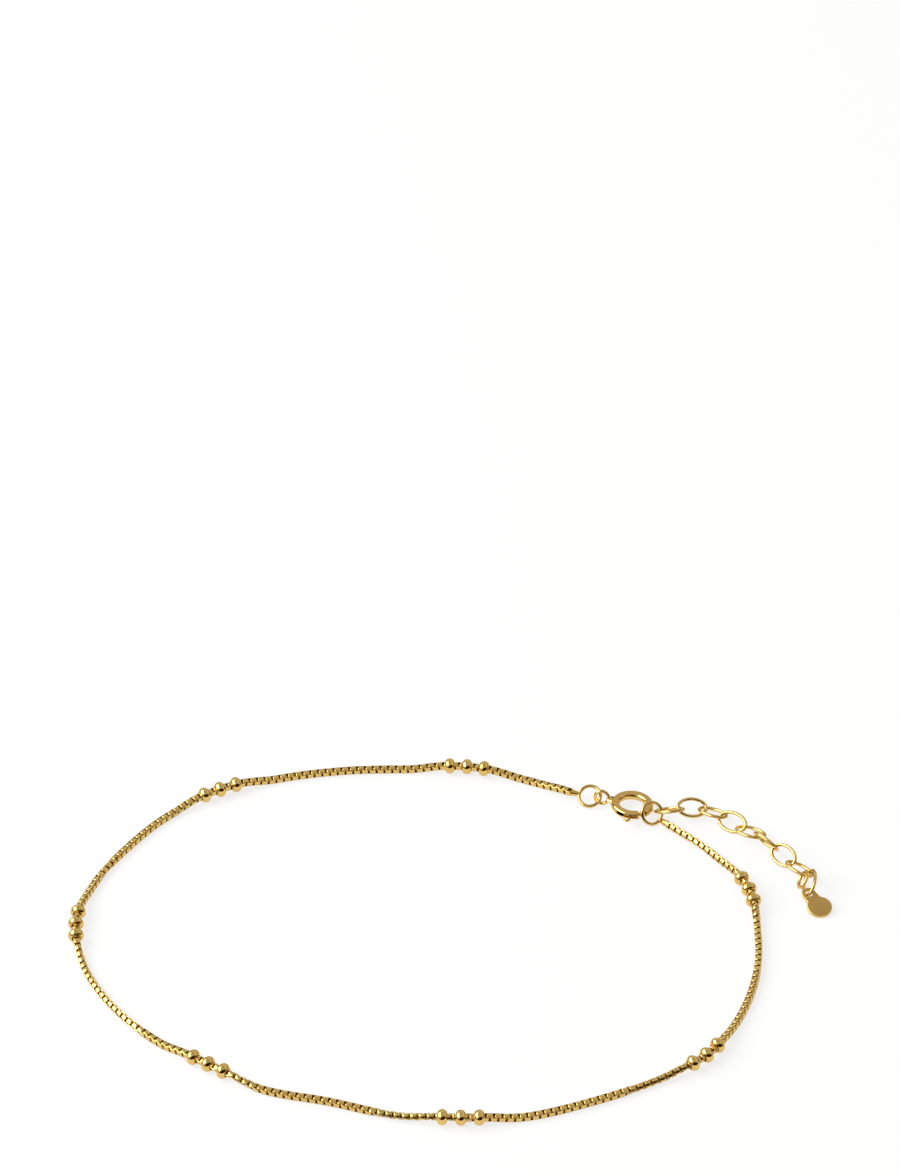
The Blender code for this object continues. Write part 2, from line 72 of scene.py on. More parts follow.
def smoothShade(mesh, angle):
    mesh.shade_smooth()
    mesh.set_sharp_from_angle(angle=math.radians(angle))


def meshFrom(bm, name, angle=35):
    bmesh.ops.remove_doubles(bm, verts=bm.verts, dist=weld)
    bmesh.ops.recalc_face_normals(bm, faces=bm.faces)
    mesh = bpy.data.meshes.new(name)
    bm.to_mesh(mesh)
    bm.free()
    smoothShade(mesh, angle)
    return mesh


def addPiece(name, mesh, material, body, nodes):
    # every finished piece sits at the origin with its place in its mesh
    piece = bpy.data.objects.new(name, mesh)
    bpy.context.scene.collection.objects.link(piece)
    if not mesh.materials:
        mesh.materials.append(material)
    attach(piece, body)
    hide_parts(*nodes)


def turnOf(heading, lift, roll):
    # lays X along a heading and a lift, then rolls about it
    return Euler((math.radians(roll), math.radians(-lift), math.radians(heading)), "XYZ").to_matrix()


def placed(centre, turn):
    return Matrix.Translation(centre) @ turn.to_4x4()


def polar(radius, angle):
    a = math.radians(angle)
    return Vector((radius * math.cos(a), radius * math.sin(a), 0))


def bentBar(bendRadius, barRadius, start, end, steps, sides):
    # a round bar spun about Z, closed by flat ends or on itself
    bm = bmesh.new()
    full = abs(end - start) >= 360
    ring = bmesh.ops.create_circle(bm, segments=sides, radius=barRadius)["verts"]
    bmesh.ops.rotate(bm, verts=ring, matrix=Matrix.Rotation(math.pi / 2, 3, "X"))
    bmesh.ops.translate(bm, verts=ring, vec=(bendRadius, 0, 0))
    bmesh.ops.rotate(bm, verts=ring, matrix=Matrix.Rotation(math.radians(start), 3, "Z"))
    bmesh.ops.spin(bm, geom=bm.verts[:] + bm.edges[:], axis=(0, 0, 1), cent=(0, 0, 0),
                   angle=math.radians(end - start), steps=steps, use_merge=full)
    if not full:
        bmesh.ops.holes_fill(bm, edges=[e for e in bm.edges if e.is_boundary], sides=sides)
    return bm


def taperedBar(start, end, startRadius, endRadius, sides=32):
    # a straight round bar between two points, closed by flat ends
    bm = bmesh.new()
    along = end - start
    bmesh.ops.create_cone(bm, cap_ends=True, segments=sides, radius1=startRadius, radius2=endRadius,
                          depth=along.length)
    turn = Vector((0, 0, 1)).rotation_difference(along.normalized()).to_matrix()
    bmesh.ops.rotate(bm, verts=bm.verts, matrix=turn)
    bmesh.ops.translate(bm, verts=bm.verts, vec=(start + end) / 2)
    return bm


def wireAlong(points, radius, closed, resolution=4):
    # a round wire along points, from a bevelled curve
    curve = bpy.data.curves.new("wire", "CURVE")
    curve.dimensions = "3D"
    curve.bevel_depth = radius
    curve.bevel_resolution = resolution
    curve.use_fill_caps = True
    spline = curve.splines.new("POLY")
    spline.points.add(len(points) - 1)
    for point, place in zip(spline.points, points):
        point.co = (*place, 1)
    spline.use_cyclic_u = closed
    holder = bpy.data.objects.new("wire", curve)
    bpy.context.scene.collection.objects.link(holder)
    evaluated = holder.evaluated_get(bpy.context.evaluated_depsgraph_get())
    bm = bmesh.new()
    bm.from_mesh(evaluated.to_mesh())
    evaluated.to_mesh_clear()
    bpy.data.objects.remove(holder, do_unlink=True)
    return bm


def combine(meshA, meshB, operation):
    # exact Boolean of two meshes in one frame; the result replaces the first
    a = bpy.data.objects.new("a", meshA)
    b = bpy.data.objects.new("b", meshB)
    for o in (a, b):
        bpy.context.scene.collection.objects.link(o)
    modifier = a.modifiers.new("combine", "BOOLEAN")
    modifier.operation = operation
    modifier.solver = "EXACT"
    modifier.object = b
    evaluated = a.evaluated_get(bpy.context.evaluated_depsgraph_get())
    result = bpy.data.meshes.new_from_object(evaluated)
    for o in (a, b):
        bpy.data.objects.remove(o, do_unlink=True)
    return result


def nodeFrame(name, turn=None):
    # middle and own axes of a CAD node: the long axis first, by the spread of its points, or a given turn
    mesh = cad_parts[name].data
    flat = np.empty(len(mesh.vertices) * 3)
    mesh.vertices.foreach_get("co", flat)
    places = np.unique(flat.reshape(-1, 3).round(7), axis=0)
    middle = places.mean(axis=0)
    if turn is None:
        axes = np.linalg.eigh(np.cov((places - middle).T))[1][:, ::-1]
        axes[:, 2] = np.cross(axes[:, 0], axes[:, 1])
    else:
        axes = np.array(turn)
    inAxes = (places - middle) @ axes
    middle = middle + axes @ ((inAxes.max(axis=0) + inAxes.min(axis=0)) / 2)
    return Vector(middle), Matrix(axes.tolist())


# gold finishes

gold = {
    "bright": "#E8C77C",       # lit side of 14 carat yellow gold
    "deep": "#DAB05A",         # the same alloy where it is a little redder
    "satin": "#D6B069",        # matte, where light bounces in the grain and comes out deeper
    "satinDeep": "#CAA056",
    "inside": "#6A4A16",       # painted shade: a dark brown that stands in for the shadow between the links
    "polishGrain": 0.45,       # mm, waviness left by barrel polishing
    "scratchLength": 0.9,      # mm
    "scratchThinness": 14.0,   # how many times longer than wide a scratch is
    "scratchTurn": (0.3, 0.5, 0.7),
    "wearRange": (0.35, 0.7),  # of the scratch pattern, from unworn to worn
    "tintPatch": 2.5,          # mm, how wide the redder patches are
}


def goldFinish(name, bright, deep, rough, wave, grain, grainSize, scratch):
    # yellow gold: a coloured mirror, slightly wavy, with fine wear in its polish
    # rough is the range from unworn to worn; the depths of wave, grain and scratches are in mm
    material = bpy.data.materials.new(name)
    material.use_nodes = True
    tree = material.node_tree
    shader = tree.nodes["Principled BSDF"]
    place = addNode(tree, "ShaderNodeTexCoord").outputs["Object"]
    waves = addNode(tree, "ShaderNodeTexNoise",
                    {"Vector": place, "Scale": 1 / (gold["polishGrain"] * mm), "Detail": 1.0, "Roughness": 0.4})
    tint = addNode(tree, "ShaderNodeTexNoise",
                   {"Vector": place, "Scale": 1 / (gold["tintPatch"] * mm), "Detail": 3.0, "Roughness": 0.6})
    colour = addNode(tree, "ShaderNodeMix", {"Factor": tint.outputs["Fac"]}, data_type="RGBA")
    colour.inputs[6].default_value = linear(bright)
    colour.inputs[7].default_value = linear(deep)
    tree.links.new(colour.outputs[2], shader.inputs["Base Color"])
    thin = gold["scratchThinness"]
    long = addNode(tree, "ShaderNodeMapping",
                   {"Vector": place, "Scale": (1.0, thin, thin), "Rotation": gold["scratchTurn"]})
    wear = addNode(tree, "ShaderNodeTexNoise",
                   {"Vector": long.outputs["Vector"], "Scale": 1 / (gold["scratchLength"] * mm), "Detail": 4.0})
    worn = addNode(tree, "ShaderNodeMapRange",
                   {"Value": wear.outputs["Fac"], "From Min": gold["wearRange"][0],
                    "From Max": gold["wearRange"][1], "To Min": rough[0], "To Max": rough[1]})
    tree.links.new(worn.outputs["Result"], shader.inputs["Roughness"])
    grains = addNode(tree, "ShaderNodeTexNoise",
                     {"Vector": place, "Scale": 1 / (grainSize * mm), "Detail": 3.0, "Roughness": 0.7})
    first = addNode(tree, "ShaderNodeBump",
                    {"Height": waves.outputs["Fac"], "Strength": 1.0, "Distance": wave * mm})
    second = addNode(tree, "ShaderNodeBump",
                     {"Height": grains.outputs["Fac"], "Strength": 1.0, "Distance": grain * mm,
                      "Normal": first.outputs["Normal"]})
    third = addNode(tree, "ShaderNodeBump",
                    {"Height": wear.outputs["Fac"], "Strength": 1.0, "Distance": scratch * mm,
                     "Normal": second.outputs["Normal"]})
    tree.links.new(third.outputs["Normal"], shader.inputs["Normal"])
    shader.inputs["Metallic"].default_value = 1.0
    return material


# beads, rings and wires: 14 carat gold, barrel polished, which mirrors the room sharply
polishedGold = goldFinish("polished yellow gold", gold["bright"], gold["deep"], rough=(0.03, 0.09),
                          wave=0.004, grain=0.0003, grainSize=0.06, scratch=0.0004)
# the chain: strip rolled flat and bent, a little softer in its shine
chainGold = goldFinish("rolled yellow gold", gold["bright"], gold["deep"], rough=(0.10, 0.20),
                       wave=0.003, grain=0.0006, grainSize=0.05, scratch=0.0006)
# tag and clasp top: ground and bead blasted to an even dull face
# its grain is drawn coarser than real, so that it shows
satinGold = goldFinish("satin yellow gold", gold["satin"], gold["satinDeep"], rough=(0.30, 0.42),
                       wave=0.003, grain=0.0035, grainSize=0.045, scratch=0.001)
# inside the chain: painted shade, a dark brown, rough gold that stands in for the shadow between the links
shadedGold = goldFinish("painted shade between links", gold["inside"], gold["inside"], rough=(0.45, 0.6),
                        wave=0.002, grain=0.002, grainSize=0.05, scratch=0.0)
print("anklet: finishes made")


# the chain's route and the sizes of the hard pieces, as in the part; mm and degrees

photoHeight = 37.86            # degrees above the table that the picture is taken from

chain = {
    "route": (
        (31.9, 15.2), (36.2, 8.0), (37.1, 0.0), (36.5, -7.8), (34.1, -15.3), (30.0, -22.1),
        (23.5, -26.2), (16.4, -29.5), (8.9, -32.0), (1.1, -32.7), (-6.7, -31.7), (-14.2, -29.4),
        (-21.8, -27.4), (-28.4, -23.5), (-34.9, -18.7), (-40.0, -13.0), (-43.7, -6.0), (-45.1, 1.6),
        (-43.3, 9.2), (-39.5, 16.1), (-34.5, 22.3), (-28.3, 26.7), (-20.7, 29.4), (-13.0, 30.8),
        (-5.1, 31.1), (2.7, 30.9), (9.9, 28.8),
    ),
    "routeSteps": 24,
    "diameter": 0.86,
    "liftRun": 5.5,
    "endMargin": 0.15,         # bare length at each end
    "linkPitch": 0.488,
    "linkLength": 0.77,
    "linkWidth": 0.82,
    "linkBreadth": 0.65,
    "linkWall": 0.09,
    "linkCorner": 0.11,
    "linkEdge": 0.035,
    "cornerLoss": 0.06,        # what the rounded edges take off a link's reach
    "coreRadius": 0.27,
    "looseness": 4,            # degrees that a link may be off its neighbours
    "looseSeed": 4,
    # length along the chain, then how far it has twisted there from lying square to the viewer
    "twist": (
        (0, 14), (3, 9), (5, 0), (7, 9), (11, 17), (14, 27), (19, 40), (23, 12), (30, 15), (33, 40),
        (44, 45), (50, 20), (51.5, 0), (57, 0), (60, 42), (76, 45), (80, 10), (82, 0), (87, 3),
        (91, 42), (102, 45), (106, 8), (110, 20), (113, 45), (119, 45), (122.5, 2), (136, 0),
        (142, 45), (150, 45), (153, 90), (156, 135), (163, 135), (168, 150), (175, 135), (219, 135),
    ),
}
beads = {
    "diameter": 1.92,
    "length": 1.18,
    "endDiameter": 1.24,
    "rolledEdge": 0.04,
    "profileSteps": 24,
    "sides": 48,
    "boreGap": 0.09,
    "pitch": 2.15,
    "inGroup": 3,
    "groups": 7,
    "groupPitch": 31.32,
    "firstGroupAt": 16.4,
}
clasp = {
    "centre": (22.55, 23.54, 0.97),
    "tilt": -4.0,
    "roll": 3.0,
    "radius": 2.10,
    "tube": 1.10,
    "wall": 0.18,
    "gapNear": -72.0,
    "gapFar": -46.0,
    "boltGap": 0.10,
    "boltEngagement": 7.0,
    "boltTail": 16.0,
    "boltTravel": 35.0,
    "triggerAt": -99.0,
    "triggerWire": 0.30,
    "triggerGap": 0.07,
    "triggerReach": 1.62,
    "triggerCurl": 0.28,
    "curlStep": 8.5,
    "curlSteps": 20,
    "slotElevation": 12.0,
    "slotEndPlay": 1,
    "slotOverrun": 4,
    "hollowOverrun": 6,
    "eyeAngle": 160.0,
    "eyeDiameter": 2.11,
    "eyeWire": 0.43,
    "eyeTwist": 8.0,
    "eyeLean": 8.0,
    "eyeNeckLength": 0.30,
    "eyeNeckRoot": 0.98,
    "eyeNeckTip": 0.52,
    "eyeNeckFlat": 0.48,       # how flat the neck is pressed
    "flatTop": 0.42,           # the tube is ground flat at this height above its middle
    "flatEdge": 0.03,
}
endRings = {
    "diameter": 3.10,
    "wire": 0.43,
    "neckLength": 0.75,
    "neckRoot": 0.52,
    "left": {
        "turn": (-10.0, 4.0, 30.0),
        "neckAt": 172.0,
        "neckHeading": 162.0,
        "fromEye": (-1.47, 0.37, -0.12),
    },
    "right": {
        "turn": (12.0, -22.0, 52.0),
        "neckAt": -28.0,
        "neckHeading": -43.0,
        "fromClasp": (2.35, -2.01, 0.36),
    },
}


def claspFrame():
    turn = Euler((math.radians(clasp["tilt"]), math.radians(clasp["roll"]), 0), "XYZ").to_matrix()
    return placed(Vector(clasp["centre"]) * mm, turn)


def eyeCentre():
    reach = clasp["radius"] + clasp["tube"] / 2 + clasp["eyeNeckLength"] + clasp["eyeDiameter"] / 2
    return polar(reach * mm, clasp["eyeAngle"])


def ringPlace(side):
    # an end ring's place and the end of its neck
    ring = endRings[side]
    if side == "left":
        centre = claspFrame() @ eyeCentre() + Vector(ring["fromEye"]) * mm
    else:
        centre = claspFrame().translation + Vector(ring["fromClasp"]) * mm
    turn = turnOf(*ring["turn"])
    bend = (endRings["diameter"] - endRings["wire"]) / 2 * mm
    neckStart = polar(bend, ring["neckAt"])
    reach = (endRings["wire"] / 2 + endRings["neckLength"]) * mm
    neckEnd = neckStart + turn.transposed() @ polar(reach, ring["neckHeading"])
    return placed(centre, turn), neckStart, neckEnd


def between(a, b, ka, kb, t):
    # a at ka, b at kb
    return a * ((kb - t) / (kb - ka)) + b * ((t - ka) / (kb - ka))


def smoothRoute(points, steps):
    # centripetal Catmull-Rom through the chosen points
    padded = [2 * points[0] - points[1]] + points + [2 * points[-1] - points[-2]]
    samples = []
    for p0, p1, p2, p3 in zip(padded, padded[1:], padded[2:], padded[3:]):
        k0 = 0.0
        k1 = k0 + math.sqrt((p1 - p0).length)
        k2 = k1 + math.sqrt((p2 - p1).length)
        k3 = k2 + math.sqrt((p3 - p2).length)
        for step in range(steps):
            t = k1 + (k2 - k1) * step / steps
            low = between(p0, p1, k0, k1, t)
            middle = between(p1, p2, k1, k2, t)
            high = between(p2, p3, k2, k3, t)
            first = between(low, middle, k0, k2, t)
            second = between(middle, high, k1, k3, t)
            samples.append(between(first, second, k1, k2, t))
    return samples + [points[-1]]


rightPlace, rightNeckStart, rightNeckEnd = ringPlace("right")
leftPlace, leftNeckStart, leftNeckEnd = ringPlace("left")
rightEnd = rightPlace @ rightNeckEnd
leftEnd = leftPlace @ leftNeckEnd
flatPoints = [Vector((rightEnd.x, rightEnd.y, 0))]
flatPoints += [Vector((x * mm, y * mm, 0)) for x, y in chain["route"]]
flatPoints += [Vector((leftEnd.x, leftEnd.y, 0))]
routeSamples = smoothRoute(flatPoints, chain["routeSteps"])
routeLengths = [0.0]
for one, two in zip(routeSamples, routeSamples[1:]):
    routeLengths.append(routeLengths[-1] + (two - one).length)
chainLength = routeLengths[-1]
groupMiddles = [(beads["firstGroupAt"] + i * beads["groupPitch"]) * mm for i in range(beads["groups"])]
halfGroup = (beads["inGroup"] - 1) / 2 * beads["pitch"] * mm
beadOffsets = [i * beads["pitch"] * mm - halfGroup for i in range(beads["inGroup"])]
beadStations = [middle + offset for middle in groupMiddles for offset in beadOffsets]


def chainHeight(along):
    # the chain lies on the table and rises to the beads' middles and to the end rings' necks
    rest = chain["diameter"] / 2 * mm
    lifts = [(abs(along - m) - halfGroup, beads["diameter"] / 2 * mm) for m in groupMiddles]
    lifts += [(along, rightEnd.z), (chainLength - along, leftEnd.z)]
    height = rest
    for distance, level in lifts:
        share = min(max(distance / (chain["liftRun"] * mm), 0), 1)
        height = max(height, rest + (level - rest) * (0.5 + 0.5 * math.cos(math.pi * share)))
    return height


def chainPoint(along):
    along = min(max(along, 0), chainLength)
    low, high = 0, len(routeLengths) - 2
    while low < high:
        middle = (low + high + 1) // 2
        if routeLengths[middle] <= along:
            low = middle
        else:
            high = middle - 1
    share = (along - routeLengths[low]) / (routeLengths[low + 1] - routeLengths[low])
    place = routeSamples[low].lerp(routeSamples[low + 1], share)
    return Vector((place.x, place.y, chainHeight(along)))


def chainWay(along, step):
    # the chain's direction
    return (chainPoint(along + step) - chainPoint(along - step)).normalized()


# the part's origin is the middle of its base, so its first bead tells where the route lies
firstLow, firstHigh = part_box("bead_01")
shift = (Vector(firstLow) + Vector(firstHigh)) / 2 - chainPoint(beadStations[0])
toPart = Matrix.Translation((shift.x, shift.y, 0))
print("anklet: route laid, chain", round(chainLength / mm, 1), "mm long")


# box chain: square links of flat wire, each turned a quarter on the one before

def boxLink():
    # a band of flat wire round Z: two walls cross the chain, two run along it
    bm = bmesh.new()
    bmesh.ops.create_cube(bm, size=1.0)
    size = (chain["linkLength"] * mm, chain["linkWidth"] * mm, chain["linkBreadth"] * mm)
    bmesh.ops.scale(bm, verts=bm.verts, vec=size)
    bmesh.ops.delete(bm, geom=[f for f in bm.faces if abs(f.normal.z) > 0.9], context="FACES_ONLY")
    upright = [e for e in bm.edges if abs((e.verts[0].co - e.verts[1].co).z) > 0.5 * size[2]]
    bmesh.ops.bevel(bm, geom=upright, offset=chain["linkCorner"] * mm, offset_type="OFFSET", segments=3,
                    profile=0.5, affect="EDGES", material=-1)
    bmesh.ops.recalc_face_normals(bm, faces=bm.faces)
    bmesh.ops.solidify(bm, geom=bm.faces[:], thickness=chain["linkWall"] * mm)
    # the wall grows to both sides of the band, so it is brought back to its size
    low = min(v.co.x for v in bm.verts)
    side = max(v.co.y for v in bm.verts)
    bmesh.ops.scale(bm, verts=bm.verts, vec=(-size[0] / 2 / low, size[1] / 2 / side, 1))
    bmesh.ops.recalc_face_normals(bm, faces=bm.faces)
    rims = [e for e in bm.edges if e.calc_face_angle(0) > 1.2 and isOutside(e, size)]
    bmesh.ops.bevel(bm, geom=rims, offset=chain["linkEdge"] * mm, offset_type="OFFSET", segments=1,
                    profile=0.5, affect="EDGES", material=-1)
    # the strand of shade that fills a link's inside
    pitch = chain["linkPitch"] * mm
    core = bmesh.ops.create_cone(bm, cap_ends=True, segments=8, radius1=chain["coreRadius"] * mm,
                                 radius2=chain["coreRadius"] * mm, depth=pitch)["verts"]
    bmesh.ops.rotate(bm, verts=core, matrix=Matrix.Rotation(math.pi / 2, 3, "Y"))
    for face in {f for v in core for f in v.link_faces}:
        face.material_index = 1
    mesh = bpy.data.meshes.new("boxLink")
    bm.to_mesh(mesh)
    bm.free()
    return mesh


def isOutside(edge, size):
    # on the outer skin of the band
    middle = (edge.verts[0].co + edge.verts[1].co) / 2
    wall = chain["linkWall"] * mm
    inX = abs(middle.x) < size[0] / 2 - wall * 0.7
    inY = abs(middle.y) < size[1] / 2 - wall * 0.7
    return not (inX and inY)


def twistAt(along):
    # eased from one row of the table to the next
    table = chain["twist"]
    for (s0, a0), (s1, a1) in zip(table, table[1:]):
        if along <= s1 * mm:
            t = (along / mm - s0) / (s1 - s0)
            return a0 + (a1 - a0) * t * t * (3 - 2 * t)
    return table[-1][1]


def makeBoxChain():
    link = boxLink()
    margin = chain["endMargin"] * mm
    count = int((chainLength - 2 * margin) / (chain["linkPitch"] * mm))
    pitch = (chainLength - 2 * margin) / count
    view = math.radians(photoHeight)
    loose = chain["looseness"]
    draw = random.Random(chain["looseSeed"])
    bm = bmesh.new()
    for i in range(count):
        along = margin + (i + 0.5) * pitch
        x = chainWay(along, pitch)
        y = Vector((-x.y, x.x, 0)).normalized()
        z = x.cross(y)
        square = math.atan2(math.sin(view), -math.cos(view) * x.x)
        roll = square + math.radians(twistAt(along) + 90 * (i % 2) + draw.uniform(-loose, loose))
        turn = Matrix((x, y, z)).transposed() @ Matrix.Rotation(roll, 3, "X")
        # an edge stands lower than a flat, so a twisted link is raised to rest on the table
        across, upright = abs(math.cos(roll)), abs(math.sin(roll))
        width, breadth = chain["linkWidth"], chain["linkBreadth"]
        reach = max(width * across + breadth * upright, width * upright + breadth * across) / 2
        raised = max(0, reach - chain["cornerLoss"] - chain["diameter"] / 2) * mm
        start = len(bm.verts)
        bm.from_mesh(link)
        bm.verts.ensure_lookup_table()
        place = placed(chainPoint(along) + Vector((0, 0, raised)), turn)
        bmesh.ops.transform(bm, matrix=toPart @ place, verts=bm.verts[start:])
    mesh = bpy.data.meshes.new("boxChain")
    bm.to_mesh(mesh)
    bm.free()
    smoothShade(mesh, 50)
    mesh.materials.append(chainGold)
    mesh.materials.append(shadedGold)
    addPiece("boxChain", mesh, chainGold, "anklet", ["box_chain"])
    print("anklet: box chain,", count, "links,", len(link.polygons), "faces each")


makeBoxChain()


# beads

def beadMesh():
    # a thin-walled ball pressed a little flat, with level drilled ends and a small rolled edge
    radius = beads["diameter"] / 2 * mm
    half = beads["length"] / 2 * mm
    bore = (chain["diameter"] / 2 + beads["boreGap"]) * mm
    rim = math.acos(beads["endDiameter"] / beads["diameter"])
    bm = bmesh.new()
    steps = beads["profileSteps"]
    turns = [-rim + 2 * rim * i / steps for i in range(steps + 1)]
    outline = [(half * math.sin(a) / math.sin(rim), radius * math.cos(a)) for a in turns]
    outline += [(half, bore), (-half, bore)]
    points = [bm.verts.new((x, 0, -r)) for x, r in outline]
    for one, two in zip(points, points[1:] + points[:1]):
        bm.edges.new((one, two))
    bmesh.ops.spin(bm, geom=bm.verts[:] + bm.edges[:], axis=(1, 0, 0), cent=(0, 0, 0),
                   angle=2 * math.pi, steps=beads["sides"], use_merge=True)
    bmesh.ops.remove_doubles(bm, verts=bm.verts, dist=weld)
    edges = [e for e in bm.edges if len(e.link_faces) == 2 and e.calc_face_angle() > 0.6]
    bmesh.ops.bevel(bm, geom=edges, offset=beads["rolledEdge"] * mm, offset_type="OFFSET", segments=3,
                    profile=0.5, affect="EDGES", material=-1)
    return meshFrom(bm, "bead", 60)


def makeBeads():
    shape = beadMesh()
    for i, along in enumerate(beadStations):
        x = chainWay(along, beads["length"] / 2 * mm)
        y = Vector((-x.y, x.x, 0)).normalized()
        turn = Matrix((x, y, x.cross(y))).transposed()
        mesh = shape.copy()
        mesh.transform(toPart @ placed(chainPoint(along), turn))
        node = "bead_%02d" % (i + 1)
        addPiece("drilledBead%02d" % (i + 1), mesh, polishedGold, "anklet", [node])
    print("anklet: beads,", len(beadStations))


makeBeads()


# end rings with their soldered necks

def makeEndRing(side, place, neckStart, neckEnd):
    bend = (endRings["diameter"] - endRings["wire"]) / 2 * mm
    wire = endRings["wire"] / 2 * mm
    ring = meshFrom(bentBar(bend, wire, 0, 360, 72, 20), "ring")
    neck = taperedBar(neckStart, neckEnd, endRings["neckRoot"] / 2 * mm, chain["diameter"] / 2 * mm)
    mesh = combine(ring, meshFrom(neck, "neck"), "UNION")
    smoothShade(mesh, 40)
    mesh.transform(toPart @ place)
    addPiece(side + "EndRing", mesh, polishedGold, "anklet", ["end_ring_" + side])


makeEndRing("left", leftPlace, leftNeckStart, leftNeckEnd)
makeEndRing("right", rightPlace, rightNeckStart, rightNeckEnd)
print("anklet: end rings")


# spring ring clasp

def slotCutter(width, start, end):
    # opens the tube's outer wall along the trigger's way
    c = clasp
    inner = (c["tube"] / 2 - c["wall"]) / 2 * mm
    outer = (c["tube"] / 2 + c["wall"]) * mm
    bm = bmesh.new()
    bmesh.ops.create_grid(bm, x_segments=1, y_segments=1, size=0.5)
    bmesh.ops.scale(bm, verts=bm.verts, vec=(outer - inner, width, 1))
    bmesh.ops.rotate(bm, verts=bm.verts, matrix=Matrix.Rotation(math.pi / 2, 3, "X"))
    bmesh.ops.translate(bm, verts=bm.verts, vec=((inner + outer) / 2, 0, 0))
    bmesh.ops.rotate(bm, verts=bm.verts, matrix=Matrix.Rotation(math.radians(-c["slotElevation"]), 3, "Y"))
    bmesh.ops.translate(bm, verts=bm.verts, vec=(c["radius"] * mm, 0, 0))
    bmesh.ops.rotate(bm, verts=bm.verts, matrix=Matrix.Rotation(math.radians(start), 3, "Z"))
    bmesh.ops.delete(bm, geom=bm.faces[:], context="FACES_ONLY")
    bmesh.ops.spin(bm, geom=bm.verts[:] + bm.edges[:], axis=(0, 0, 1), cent=(0, 0, 0),
                   angle=math.radians(end - start), steps=24)
    bmesh.ops.holes_fill(bm, edges=[e for e in bm.edges if e.is_boundary], sides=4)
    return meshFrom(bm, "slot")


def makeClasp():
    c = clasp
    place = toPart @ claspFrame()
    bore = c["tube"] / 2 - c["wall"]
    tube = bentBar(c["radius"] * mm, c["tube"] / 2 * mm, c["gapFar"], 360 + c["gapNear"], 96, 36)
    top = c["flatTop"] * mm
    for v in tube.verts:
        v.co.z = min(v.co.z, top)
    rims = [e for e in tube.edges if e.calc_face_angle(0) > 0.6 and all(v.co.z > top - weld for v in e.verts)]
    bmesh.ops.bevel(tube, geom=rims, offset=c["flatEdge"] * mm, offset_type="OFFSET", segments=2,
                    profile=0.5, affect="EDGES", material=-1)
    mesh = meshFrom(tube, "tube")
    eyeBend = (c["eyeDiameter"] - c["eyeWire"]) / 2 * mm
    eye = meshFrom(bentBar(eyeBend, c["eyeWire"] / 2 * mm, 0, 360, 56, 18), "eye")
    turn = Matrix.Rotation(math.radians(c["eyeAngle"] + c["eyeTwist"]), 3, "Z")
    turn = turn @ Matrix.Rotation(math.radians(90 + c["eyeLean"]), 3, "X")
    eye.transform(placed(eyeCentre(), turn))
    mesh = combine(mesh, eye, "UNION")
    # the neck is pressed flat, so that it fans out along the tube
    neckStart = polar((c["radius"] - c["tube"] / 8) * mm, c["eyeAngle"])
    neckEnd = eyeCentre() - polar(eyeBend, c["eyeAngle"])
    neck = taperedBar(neckStart, neckEnd, c["eyeNeckRoot"] * mm, c["eyeNeckTip"] * mm)
    bmesh.ops.scale(neck, verts=neck.verts, vec=(1, 1, c["eyeNeckFlat"]))
    mesh = combine(mesh, meshFrom(neck, "neck"), "UNION")
    hollowStart = c["gapFar"] - c["hollowOverrun"]
    hollowEnd = 360 + c["gapNear"] + c["hollowOverrun"]
    hollow = meshFrom(bentBar(c["radius"] * mm, bore * mm, hollowStart, hollowEnd, 96, 28), "hollow")
    mesh = combine(mesh, hollow, "DIFFERENCE")
    slotWidth = (c["triggerWire"] + 2 * c["triggerGap"]) * mm
    play = math.degrees(slotWidth / 2 / ((c["radius"] + c["tube"] / 2) * mm))
    slotStart = c["triggerAt"] - c["boltTravel"] - play - c["slotEndPlay"]
    slot = slotCutter(slotWidth, slotStart, c["gapNear"] + c["slotOverrun"])
    mesh = combine(mesh, slot, "DIFFERENCE")
    smoothShade(mesh, 35)
    mesh.materials.clear()
    mesh.materials.append(polishedGold)
    mesh.materials.append(satinGold)
    for face in mesh.polygons:
        onTop = face.normal.z > 0.97 and face.center.z > top * 0.97
        face.material_index = 1 if onTop else 0
    mesh.transform(place)
    addPiece("claspTube", mesh, satinGold, "anklet", ["clasp_ring"])

    # the bolt and its trigger, a wire that ends in a curl
    boltRadius = (bore - c["boltGap"]) * mm
    bar = meshFrom(bentBar(c["radius"] * mm, boltRadius, c["triggerAt"] - c["boltTail"],
                           c["gapFar"] + c["boltEngagement"], 40, 24), "bar")
    outward, backward = polar(1, c["triggerAt"]), polar(1, c["triggerAt"] - 90)
    rise = math.radians(c["slotElevation"])
    stem = outward * math.cos(rise) + Vector((0, 0, math.sin(rise)))
    root = outward * c["radius"] * mm
    reach, curl = c["triggerReach"] * mm, c["triggerCurl"] * mm
    points = [root + stem * (boltRadius / 2), root + stem * (reach / 2), root + stem * reach]
    hub = root + stem * reach + backward * curl
    for step in range(1, c["curlSteps"] + 1):
        a = math.radians(c["curlStep"] * step)
        points.append(hub - backward * curl * math.cos(a) + stem * curl * math.sin(a))
    trigger = meshFrom(wireAlong(points, c["triggerWire"] / 2 * mm, False), "trigger")
    mesh = combine(bar, trigger, "UNION")
    smoothShade(mesh, 35)
    mesh.transform(place)
    addPiece("claspBolt", mesh, polishedGold, "bolt", ["clasp_bolt"])
    print("anklet: spring ring clasp")


makeClasp()


# extension: oval links, the small ring and the tag

extension = {
    "length": 4.15,
    "width": 2.75,
    "wire": 0.43,
    "count": 9,
    "smallLength": 2.60,
    "smallWidth": 1.90,
    "steps": 64,
}
tag = {
    "diameter": 3.0,
    "thickness": 0.42,
    "lugDiameter": 1.74,
    "holeDiameter": 0.94,
    "holeToCentre": 2.30,
    "discOpening": 38.0,
    "lugSpread": 105.0,
    "edge": 0.07,
    "turn": (-57.0, -10.6, 4.3),
}


